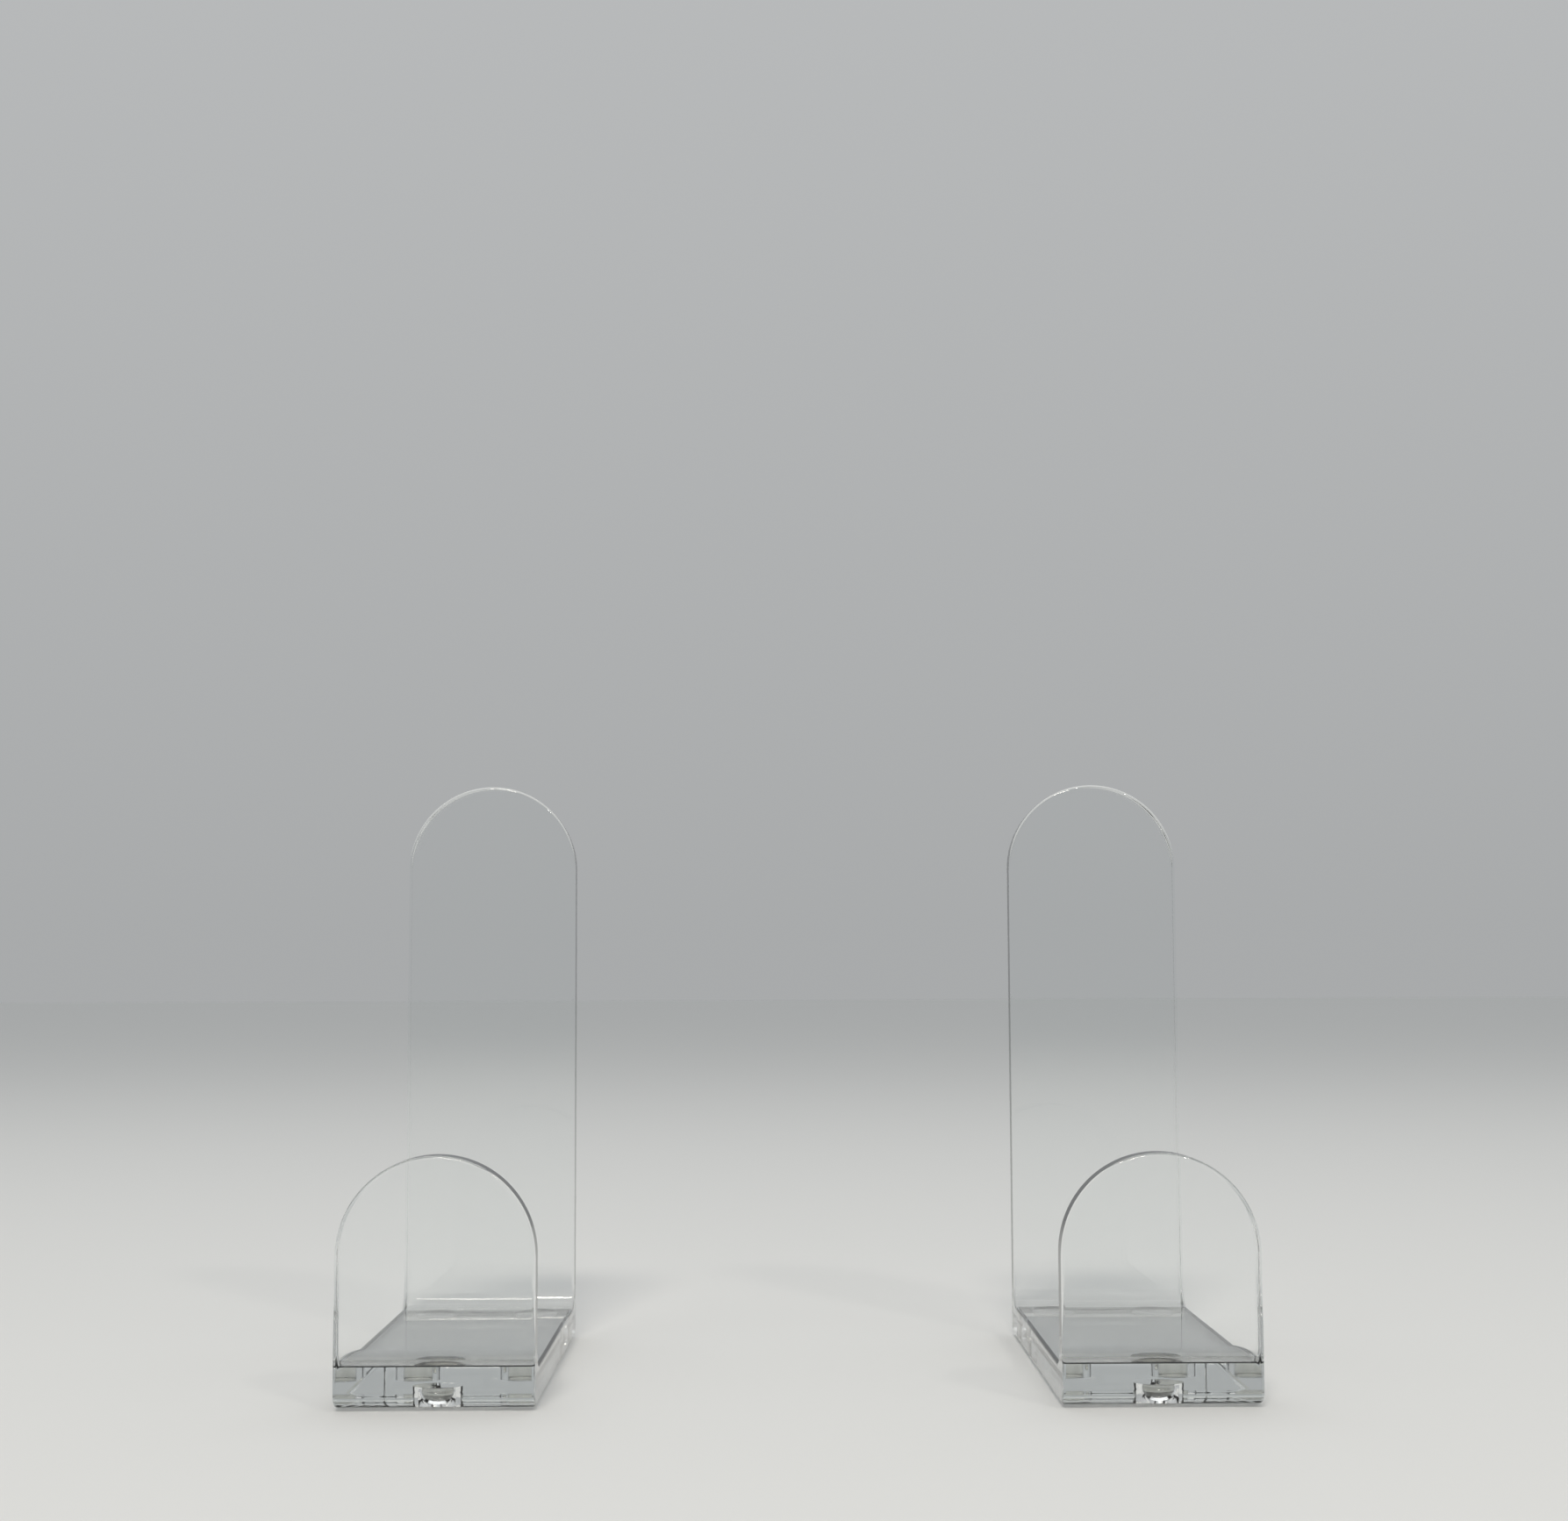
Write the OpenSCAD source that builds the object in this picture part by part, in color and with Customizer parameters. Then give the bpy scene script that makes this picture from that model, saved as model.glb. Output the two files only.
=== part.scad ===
// Plate display stand: a matched pair of free-standing supports.
// Each support is one clear acrylic piece: a flat foot along the table, with a
// short round-topped lip up from its front end and a taller round-topped back
// rest up from its rear end. Three soft clear bumpers, glued into round pockets
// in its underside, keep each foot just off the table.
// X runs across the pair, Y from the lips to the back rests, and Z is up.

/* [Support] */
// Width of each support
support_w = 35.5; // [30:0.5:50]
// Thickness of the lip and of the back rest
wall_t = 5; // [4:0.5:8]
// Thickness of the foot
foot_t = 6.5; // [5:0.5:10]
// Depth of the foot, from the front of the lip to the back of the back rest
foot_l = 90; // [70:1:130]
// Height of the front lip, above the underside of the foot
lip_h = 44; // [36:0.5:60]
// Height of the back rest, above the underside of the foot
back_h = 116; // [75:1:150]
// Radius of the inside corners, between the foot and its uprights
inner_r = 3.5; // [1:0.5:6]
// Radius of the outside corners, along the bottom front and bottom rear
outer_r = 3; // [0.5:0.5:4]

/* [Pair] */
// Distance between the middles of the two supports
pair_pitch = 128; // [90:1:200]

/* [Bumpers] */
// Diameter of a bumper
bumper_d = 8.5; // [6:0.5:10]
// Depth of the pocket that a bumper is glued into
pocket_depth = 3.2; // [1.5:0.1:4]
// How far a bumper stands proud of the foot
bumper_proud = 0.5; // [0.3:0.1:1.5]
// Gap all round a bumper in its pocket
bumper_clearance = 0.25; // [0.1:0.05:0.5]
// Distance from the front of the lip to the middle of the front bumper
front_bumper_y = 9.5; // [9:0.5:30]
// Gap from the back of the foot to the rim of a rear pocket
pocket_rear_gap = 5; // [4:0.5:15]
// Gap from the side of the foot to the rim of a rear pocket
pocket_side_gap = 3; // [1:0.5:6]

/* [Hidden] */
$fn = 96;

acrylic = [0.86, 0.90, 0.92, 0.45];
soft_clear = [0.90, 0.90, 0.88, 0.70];

// Both rounded tops are full half circles across the support.
end_r = support_w / 2;

// A bumper reaches from the table to the top of its pocket.
bumper_h = bumper_proud + pocket_depth;
// Its lower rim is rounded over the stretch that stands proud.
bumper_edge_r = bumper_proud;
pocket_r = bumper_d / 2 + bumper_clearance;
// The rear pockets sit in the rear corners of the foot.
rear_bumper_y = foot_l - pocket_rear_gap - pocket_r;
rear_bumper_x = support_w / 2 - pocket_side_gap - pocket_r;

// A round bar that runs across the support, through the given point.
module cross_bar(r, y, z) {
    translate([-support_w / 2, y, z])
        rotate([0, 90, 0])
            cylinder(r = r, h = support_w);
}

// A block that runs across the support, from one corner point to the other.
module cross_block(y, z, depth, height) {
    translate([-support_w / 2, y, z])
        cube([support_w, depth, height]);
}

// An upright that stands on the underside's level, with a half round top.
module upright(y, height) {
    cross_block(y, outer_r, wall_t, height - end_r - outer_r);
    translate([0, y, height - end_r])
        rotate([-90, 0, 0])
            cylinder(r = end_r, h = wall_t);
}

// The concave corner piece on the foot's top, at y. It fills towards -1 or 1.
module inside_corner(y, towards) {
    difference() {
        cross_block(min(y, y - towards * inner_r), foot_t, inner_r, inner_r);
        cross_bar(inner_r, y - towards * inner_r, foot_t + inner_r);
    }
}

// A round pocket in the underside of the foot, cut upwards from z = 0.
module pocket(x, y) {
    translate([x, y, -pocket_depth])
        cylinder(r = pocket_r, h = 2 * pocket_depth);
}

// One support, with the front of its lip at y = 0 and its underside at z = 0.
module support() {
    color(acrylic)
    difference() {
        union() {
            // foot, with its two outside corners rounded
            cross_block(outer_r, 0, foot_l - 2 * outer_r, foot_t);
            cross_block(0, outer_r, foot_l, foot_t - outer_r);
            cross_bar(outer_r, outer_r, outer_r);
            cross_bar(outer_r, foot_l - outer_r, outer_r);
            // front lip and back rest
            upright(0, lip_h);
            upright(foot_l - wall_t, back_h);
            inside_corner(wall_t, -1);
            inside_corner(foot_l - wall_t, 1);
        }
        pocket(0, front_bumper_y);
        pocket(-rear_bumper_x, rear_bumper_y);
        pocket(rear_bumper_x, rear_bumper_y);
    }
}

// One bumper, standing on z = 0 with its lower rim rounded.
module bumper() {
    color(soft_clear)
    rotate_extrude() {
        square([bumper_d / 2 - bumper_edge_r, bumper_h]);
        translate([0, bumper_edge_r])
            square([bumper_d / 2, bumper_h - bumper_edge_r]);
        translate([bumper_d / 2 - bumper_edge_r, bumper_edge_r])
            circle(r = bumper_edge_r);
    }
}

// Places a piece of the left or right support, with the pair centred on the origin.
module on_side(side) {
    translate([side * pair_pitch / 2, -foot_l / 2, 0])
        children();
}

module support_on(side) { on_side(side) translate([0, 0, bumper_proud]) support(); }
module front_bumper_on(side) { on_side(side) translate([0, front_bumper_y, 0]) bumper(); }

// outward is 1 for the bumper on the far side from the other support, or -1.
module rear_bumper_on(side, outward) {
    on_side(side)
        translate([side * outward * rear_bumper_x, rear_bumper_y, 0])
            bumper();
}

module left_support() { support_on(-1); }
module left_front_bumper() { front_bumper_on(-1); }
module left_rear_outer_bumper() { rear_bumper_on(-1, 1); }
module left_rear_inner_bumper() { rear_bumper_on(-1, -1); }
module right_support() { support_on(1); }
module right_front_bumper() { front_bumper_on(1); }
module right_rear_outer_bumper() { rear_bumper_on(1, 1); }
module right_rear_inner_bumper() { rear_bumper_on(1, -1); }

left_support();
left_front_bumper();
left_rear_outer_bumper();
left_rear_inner_bumper();
right_support();
right_front_bumper();
right_rear_outer_bumper();
right_rear_inner_bumper();
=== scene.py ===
import math

import bmesh
import bpy
from mathutils import Matrix, Vector


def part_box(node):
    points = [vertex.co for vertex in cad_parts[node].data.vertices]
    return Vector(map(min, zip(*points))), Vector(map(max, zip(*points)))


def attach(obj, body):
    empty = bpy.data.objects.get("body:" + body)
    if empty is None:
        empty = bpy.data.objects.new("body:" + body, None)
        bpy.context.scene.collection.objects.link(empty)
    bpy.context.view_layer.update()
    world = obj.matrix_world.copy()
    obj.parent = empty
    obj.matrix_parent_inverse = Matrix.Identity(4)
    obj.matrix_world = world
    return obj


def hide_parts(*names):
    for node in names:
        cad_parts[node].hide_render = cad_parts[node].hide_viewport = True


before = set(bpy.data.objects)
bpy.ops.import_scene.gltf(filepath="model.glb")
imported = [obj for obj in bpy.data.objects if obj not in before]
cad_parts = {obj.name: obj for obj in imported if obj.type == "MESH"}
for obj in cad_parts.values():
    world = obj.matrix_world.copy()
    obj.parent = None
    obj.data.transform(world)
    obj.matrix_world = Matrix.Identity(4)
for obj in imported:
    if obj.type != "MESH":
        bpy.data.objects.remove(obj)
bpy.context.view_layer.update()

MM = 0.001


# ---------------------------------------------------------------- camera
# A short telephoto lens under half a metre in front of the lips and only a
# little above them, so that it sees their flat tops nearly edge on.

camera_place = Vector((-0.0048, -0.4782, 0.0755))
camera_turn = math.radians(0.344)
camera_dip = math.radians(-5.125)
camera_roll = math.radians(-0.222)
LENS_MM = 55.73
SENSOR_MM = 36.0

view_line = Vector((
    math.sin(camera_turn) * math.cos(camera_dip),
    math.cos(camera_turn) * math.cos(camera_dip),
    -math.sin(camera_dip),
))
camera = bpy.data.objects.new("camera", bpy.data.cameras.new("camera"))
bpy.context.scene.collection.objects.link(camera)
camera.data.sensor_width = SENSOR_MM
camera.data.lens = LENS_MM
camera.data.clip_start = 0.01
camera.matrix_world = (
    Matrix.Translation(camera_place)
    @ view_line.to_track_quat("-Z", "Y").to_matrix().to_4x4()
    @ Matrix.Rotation(camera_roll, 4, "Z")
)
bpy.context.scene.camera = camera


# ---------------------------------------------------------------- supports
# Each support is one piece of clear cast acrylic: a flat foot, a short lip at
# its front end and a taller back rest at its rear end, both with half-round
# tops. Its edges are eased and flame-polished, and three shallow round pockets
# are milled into its underside for the bumpers.

WALL = 5.0 * MM
FOOT_THICK = 6.5 * MM
LIP_RISE = 44.0 * MM
INNER_RADIUS = 3.5 * MM
OUTER_RADIUS = 3.0 * MM
POCKET_RADIUS = 4.5 * MM
POCKET_DEEP = 3.2 * MM
FRONT_POCKET_BACK = 9.5 * MM
REAR_POCKET_GAP = 5.0 * MM
SIDE_POCKET_GAP = 3.0 * MM
EASED_EDGE = 0.6 * MM
EASED_STEPS = 4
SHARP_CORNER = math.radians(40)
ROUND_TOP_STEPS = 40
CORNER_STEPS = 12
NEAR = 0.02 * MM

low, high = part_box("left_support")
right_low, right_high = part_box("right_support")
low, high = Vector(low), Vector(high)
pitch = Vector(right_low) - low
middle_x = (low.x + high.x) / 2
half_width = (high.x - low.x) / 2
foot_top = low.z + FOOT_THICK
lip_top = low.z + LIP_RISE


def start(ops_call, name, **values):
    """Adds a primitive on its own, named and with its place in its mesh."""
    bpy.ops.object.select_all(action="DESELECT")
    ops_call(**values)
    piece = bpy.context.object
    piece.name = piece.data.name = name
    bpy.ops.object.transform_apply(location=True, rotation=True, scale=True)
    return piece


def pick(kind, wanted):
    """In edit mode, selects only the faces or edges that pass the test."""
    bpy.ops.mesh.select_mode(type=kind)
    bpy.ops.mesh.select_all(action="DESELECT")
    mesh = bpy.context.object.data
    shape = bmesh.from_edit_mesh(mesh)
    for part in shape.faces if kind == "FACE" else shape.edges:
        if all(wanted(corner.co) for corner in part.verts):
            part.select_set(True)
    bmesh.update_edit_mesh(mesh)


def at(value, target):
    return abs(value - target) < NEAR


left_support = start(
    bpy.ops.mesh.primitive_cube_add, "left_support_clear", size=1,
    location=(middle_x, (low.y + high.y) / 2, low.z + FOOT_THICK / 2),
    scale=(2 * half_width, high.y - low.y, FOOT_THICK),
)
bpy.ops.object.mode_set(mode="EDIT")
for wall_back in (low.y + WALL, high.y - WALL):
    bpy.ops.mesh.select_all(action="SELECT")
    bpy.ops.mesh.bisect(plane_co=(0, wall_back, 0), plane_no=(0, 1, 0))

# the lip and the back rest rise from the two ends of the foot
for end, top in ((low.y, lip_top), (high.y, high.z)):
    pick("FACE", lambda c: at(c.z, foot_top) and abs(c.y - end) < WALL + NEAR)
    bpy.ops.mesh.extrude_region_move(
        TRANSFORM_OT_translate={"value": (0, 0, top - foot_top)})

# their tops are rounded over the full width
for top in (lip_top, high.z):
    for side in (-1, 1):
        pick("EDGE", lambda c: at(c.z, top)
             and at(c.x, middle_x + side * half_width))
        bpy.ops.mesh.bevel(
            offset=half_width - NEAR / 4, offset_type="OFFSET",
            segments=ROUND_TOP_STEPS, profile=0.5, affect="EDGES")
bpy.ops.mesh.select_all(action="SELECT")
bpy.ops.mesh.remove_doubles(threshold=NEAR)

# the corners between foot and uprights, inside and then outside
for corner_y, corner_z, radius in (
    (low.y + WALL, foot_top, INNER_RADIUS),
    (high.y - WALL, foot_top, INNER_RADIUS),
    (low.y, low.z, OUTER_RADIUS),
    (high.y, low.z, OUTER_RADIUS),
):
    pick("EDGE", lambda c: at(c.y, corner_y) and at(c.z, corner_z))
    bpy.ops.mesh.bevel(
        offset=radius, offset_type="OFFSET", segments=CORNER_STEPS,
        profile=0.5, affect="EDGES")
bpy.ops.object.mode_set(mode="OBJECT")

# every edge is eased before the pockets are milled, since easing their rims as
# well would fold faces. The arcs' short steps would otherwise hold the easing
# back, so it isn't clamped to them
bpy.ops.object.select_all(action="DESELECT")
left_support.select_set(True)
bpy.context.view_layer.objects.active = left_support
bpy.ops.object.shade_smooth_by_angle(angle=math.radians(30))
easing = left_support.modifiers.new("easing", "BEVEL")
easing.width = EASED_EDGE
easing.segments = EASED_STEPS
easing.limit_method = "ANGLE"
easing.angle_limit = SHARP_CORNER
easing.harden_normals = True
easing.use_clamp_overlap = False
easing.loop_slide = False
bpy.ops.object.modifier_apply(modifier=easing.name)

# the bumpers' pockets, each milled with a flat-ended cutter
rear_pocket_y = high.y - REAR_POCKET_GAP - POCKET_RADIUS
rear_pocket_x = half_width - SIDE_POCKET_GAP - POCKET_RADIUS
pocket_places = {
    "front": (middle_x, low.y + FRONT_POCKET_BACK),
    "rear_outer": (middle_x - rear_pocket_x, rear_pocket_y),
    "rear_inner": (middle_x + rear_pocket_x, rear_pocket_y),
}
for pocket_x, pocket_y in pocket_places.values():
    cutter = start(
        bpy.ops.mesh.primitive_cylinder_add, "pocket_cutter", vertices=96,
        radius=POCKET_RADIUS, depth=2 * POCKET_DEEP,
        location=(pocket_x, pocket_y, low.z),
    )
    cut = left_support.modifiers.new("pocket", "BOOLEAN")
    cut.operation = "DIFFERENCE"
    cut.solver = "EXACT"
    cut.object = cutter
    bpy.context.view_layer.objects.active = left_support
    bpy.ops.object.modifier_apply(modifier=cut.name)
    bpy.data.objects.remove(cutter)

# the flats are shaded flat up to the easing, round the pockets too
bpy.ops.object.select_all(action="DESELECT")
left_support.select_set(True)
bpy.context.view_layer.objects.active = left_support
bpy.ops.object.shade_smooth_by_angle(angle=math.radians(30))
flats = left_support.modifiers.new("flats", "WEIGHTED_NORMAL")
flats.keep_sharp = True
bpy.ops.object.modifier_apply(modifier=flats.name)


def linear(hex_colour):
    """An sRGB hex colour as linear red, green, blue and alpha."""
    parts = [int(hex_colour[i:i + 2], 16) / 255 for i in (1, 3, 5)]
    return tuple(
        p / 12.92 if p <= 0.04045 else ((p + 0.055) / 1.055) ** 2.4
        for p in parts
    ) + (1.0,)


def add_node(tree, kind, sockets=None, **settings):
    """Adds a node: sockets holds values, or other nodes' outputs to link."""
    node = tree.nodes.new(kind)
    for name, value in settings.items():
        setattr(node, name, value)
    for socket, value in (sockets or {}).items():
        if isinstance(value, bpy.types.NodeSocket):
            tree.links.new(value, node.inputs[socket])
        else:
            node.inputs[socket].default_value = value
    return node


# Cast acrylic, flame-polished: as clear as water and a little softer in its
# gloss than glass. The sheet is very slightly wavy, handling leaves a faint
# film and a few hairlines, and long paths through it turn a trace grey-green.
ACRYLIC_CLEAR = "#FBFCFC"
ACRYLIC_DEPTH = "#DDE6E2"
WAVE_MM = 30.0
FILM_MM = 14.0
HAIRLINE_MM = 2.4

acrylic = bpy.data.materials.new("polished_cast_acrylic")
acrylic.use_nodes = True
tree = acrylic.node_tree
tree.nodes.clear()
place = add_node(tree, "ShaderNodeTexCoord").outputs["Object"]
film = add_node(
    tree, "ShaderNodeTexNoise",
    {"Vector": place, "Scale": 1000 / FILM_MM, "Detail": 4.0,
     "Roughness": 0.6, "Distortion": 0.4})
film_gloss = add_node(
    tree, "ShaderNodeMapRange",
    {"Value": film.outputs["Fac"], "From Min": 0.45, "From Max": 0.75,
     "To Min": 0.006, "To Max": 0.045})
hairline_run = add_node(
    tree, "ShaderNodeMapping",
    {"Vector": place, "Rotation": (0.35, 0.2, 0.6),
     "Scale": (1000 / HAIRLINE_MM, 25.0, 40.0)})
hairlines = add_node(
    tree, "ShaderNodeTexNoise",
    {"Vector": hairline_run.outputs["Vector"], "Scale": 1.0, "Detail": 3.0,
     "Roughness": 0.7})
hairline_lines = add_node(
    tree, "ShaderNodeMapRange",
    {"Value": hairlines.outputs["Fac"], "From Min": 0.70, "From Max": 0.76,
     "To Min": 0.0, "To Max": 1.0})
gloss = add_node(
    tree, "ShaderNodeMath",
    {0: hairline_lines.outputs["Result"], 1: 0.03,
     2: film_gloss.outputs["Result"]}, operation="MULTIPLY_ADD")
wave = add_node(
    tree, "ShaderNodeTexNoise",
    {"Vector": place, "Scale": 1000 / WAVE_MM, "Detail": 1.0})
relief = add_node(
    tree, "ShaderNodeBump",
    {"Height": wave.outputs["Fac"], "Strength": 1.0,
     "Distance": 0.01 * MM})
clear = add_node(
    tree, "ShaderNodeBsdfPrincipled",
    {"Base Color": linear(ACRYLIC_CLEAR), "Roughness": gloss.outputs["Value"],
     "IOR": 1.49, "Transmission Weight": 1.0,
     "Normal": relief.outputs["Normal"]})
depth = add_node(
    tree, "ShaderNodeVolumeAbsorption",
    {"Color": linear(ACRYLIC_DEPTH), "Density": 4.0})
add_node(tree, "ShaderNodeOutputMaterial",
         {"Surface": clear.outputs["BSDF"], "Volume": depth.outputs["Volume"]})
left_support.data.materials.append(acrylic)


def copy_piece(piece, name, shift):
    """A copy with its own mesh, moved over in the mesh."""
    twin = piece.copy()
    twin.data = piece.data.copy()
    twin.name = twin.data.name = name
    bpy.context.scene.collection.objects.link(twin)
    twin.data.transform(Matrix.Translation(shift))
    return twin


right_support = copy_piece(left_support, "right_support_clear", pitch)
for side, support in (("left", left_support), ("right", right_support)):
    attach(support, side)
    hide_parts(side + "_support")


# ---------------------------------------------------------------- bumpers
# Six soft bumpers of clear cast polyurethane, pressed into the pockets and
# held there by their own adhesive. Half a millimetre of each stands proud,
# with a rounded rim, and keeps the foot off the table.

GLUE_LINE = 0.04 * MM
TOP_EASE = 0.2 * MM

bumper_low, bumper_high = (Vector(c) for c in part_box("left_front_bumper"))
bumper_radius = (bumper_high.x - bumper_low.x) / 2
bumper_proud = low.z - bumper_low.z
bumper_tall = bumper_high.z - bumper_low.z - GLUE_LINE
bumper = start(
    bpy.ops.mesh.primitive_cylinder_add, "left_front_bumper_soft",
    vertices=72, radius=bumper_radius, depth=bumper_tall,
    location=(*pocket_places["front"], bumper_low.z + bumper_tall / 2),
)
bpy.ops.object.mode_set(mode="EDIT")
for rim_z, rim_radius in (
    (bumper_low.z, bumper_proud),
    (bumper_low.z + bumper_tall, TOP_EASE),
):
    pick("EDGE", lambda c: at(c.z, rim_z))
    bpy.ops.mesh.bevel(
        offset=rim_radius, offset_type="OFFSET", segments=5, profile=0.5,
        affect="EDGES")
# the skin of a cast bumper domes in a trace at its middle
pick("FACE", lambda c: at(c.z, bumper_low.z))
bpy.ops.mesh.inset(thickness=0.8 * MM)
bpy.ops.mesh.inset(thickness=1.2 * MM)
bpy.ops.transform.translate(value=(0, 0, 0.05 * MM))
bpy.ops.object.mode_set(mode="OBJECT")
bpy.ops.object.shade_smooth_by_angle(angle=math.radians(40))

# Cast polyurethane, unpolished: clear with a soft, slightly cloudy skin.
BUMPER_CLEAR = "#F1EFE8"
SKIN_MM = 0.6

polyurethane = bpy.data.materials.new("soft_cast_polyurethane")
polyurethane.use_nodes = True
tree = polyurethane.node_tree
tree.nodes.clear()
place = add_node(tree, "ShaderNodeTexCoord").outputs["Object"]
skin = add_node(
    tree, "ShaderNodeTexNoise",
    {"Vector": place, "Scale": 1000 / SKIN_MM, "Detail": 2.0})
skin_gloss = add_node(
    tree, "ShaderNodeMapRange",
    {"Value": skin.outputs["Fac"], "From Min": 0.3, "From Max": 0.7,
     "To Min": 0.10, "To Max": 0.22})
skin_relief = add_node(
    tree, "ShaderNodeBump",
    {"Height": skin.outputs["Fac"], "Strength": 0.4, "Distance": 0.02 * MM})
rubbery = add_node(
    tree, "ShaderNodeBsdfPrincipled",
    {"Base Color": linear(BUMPER_CLEAR),
     "Roughness": skin_gloss.outputs["Result"], "IOR": 1.50,
     "Transmission Weight": 1.0, "Normal": skin_relief.outputs["Normal"]})
add_node(tree, "ShaderNodeOutputMaterial", {"Surface": rubbery.outputs["BSDF"]})
bumper.data.materials.append(polyurethane)

front_place = Vector((*pocket_places["front"], 0))
for side in ("left", "right"):
    for end, place_xy in pocket_places.items():
        shift = Vector((*place_xy, 0)) - front_place
        if side == "right":
            if end != "front":
                shift.x = -shift.x
            shift = shift + pitch
        node = f"{side}_{end}_bumper"
        piece = bumper if node == "left_front_bumper" else copy_piece(
            bumper, node + "_soft", shift)
        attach(piece, side)
        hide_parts(node)


# ---------------------------------------------------------------- studio
# A plain pale floor that runs to the horizon, a soft light overhead, a soft
# light high in front and a small lamp to its right.

FLOOR_PALE = "#D8D9D8"
HORIZON_PALE = "#C6C8C9"
ZENITH_PALE = "#E9EBEC"
ROOM_STRENGTH = 0.70
floor = start(bpy.ops.mesh.primitive_plane_add, "floor", size=16,
              location=(0, 0, 0))
paper = bpy.data.materials.new("pale_matt_paper")
paper.use_nodes = True
paper.node_tree.nodes["Principled BSDF"].inputs["Base Color"].default_value = (
    linear(FLOOR_PALE))
paper.node_tree.nodes["Principled BSDF"].inputs["Roughness"].default_value = 0.7
floor.data.materials.append(paper)


def lamp(name, place, aim, size, watts, colour):
    """A soft square lamp that faces the point it is aimed at."""
    light = bpy.data.lights.new(name, "AREA")
    light.shape = "RECTANGLE"
    light.size, light.size_y = size
    light.energy = watts
    light.color = linear(colour)[:3]
    holder = bpy.data.objects.new(name, light)
    bpy.context.scene.collection.objects.link(holder)
    place, aim = Vector(place), Vector(aim)
    holder.matrix_world = (
        Matrix.Translation(place)
        @ (aim - place).to_track_quat("-Z", "Y").to_matrix().to_4x4())


lamp("overhead_softbox", (0.0, 0.25, 1.3), (0, 0, 0), (1.2, 0.9), 3,
     "#FFFFFF")
lamp("front_softbox", (-0.12, -1.25, 1.45), (0, 0, 0.02), (0.45, 0.30), 14,
     "#FFF8EE")
lamp("front_right_lamp", (0.75, -1.2, 1.25), (0, 0, 0.02), (0.15, 0.15), 3,
     "#FFF8EE")

# the room is as pale as the floor at the horizon, and brighter overhead
world = bpy.data.worlds.new("room")
bpy.context.scene.world = world
world.use_nodes = True
tree = world.node_tree
tree.nodes.clear()
rise = add_node(tree, "ShaderNodeSeparateXYZ", {
    "Vector": add_node(tree, "ShaderNodeTexCoord").outputs["Generated"]})
room = add_node(tree, "ShaderNodeMix", {
    "Factor": add_node(tree, "ShaderNodeMapRange", {
        "Value": rise.outputs["Z"], "From Min": 0.02, "From Max": 0.8,
        "To Min": 0.0, "To Max": 1.0}).outputs["Result"],
    "A": linear(HORIZON_PALE), "B": linear(ZENITH_PALE)}, data_type="RGBA")
add_node(tree, "ShaderNodeOutputWorld", {
    "Surface": add_node(tree, "ShaderNodeBackground", {
        "Color": room.outputs["Result"],
        "Strength": ROOM_STRENGTH}).outputs["Background"]})
bpy.context.scene.view_settings.view_transform = "Standard"
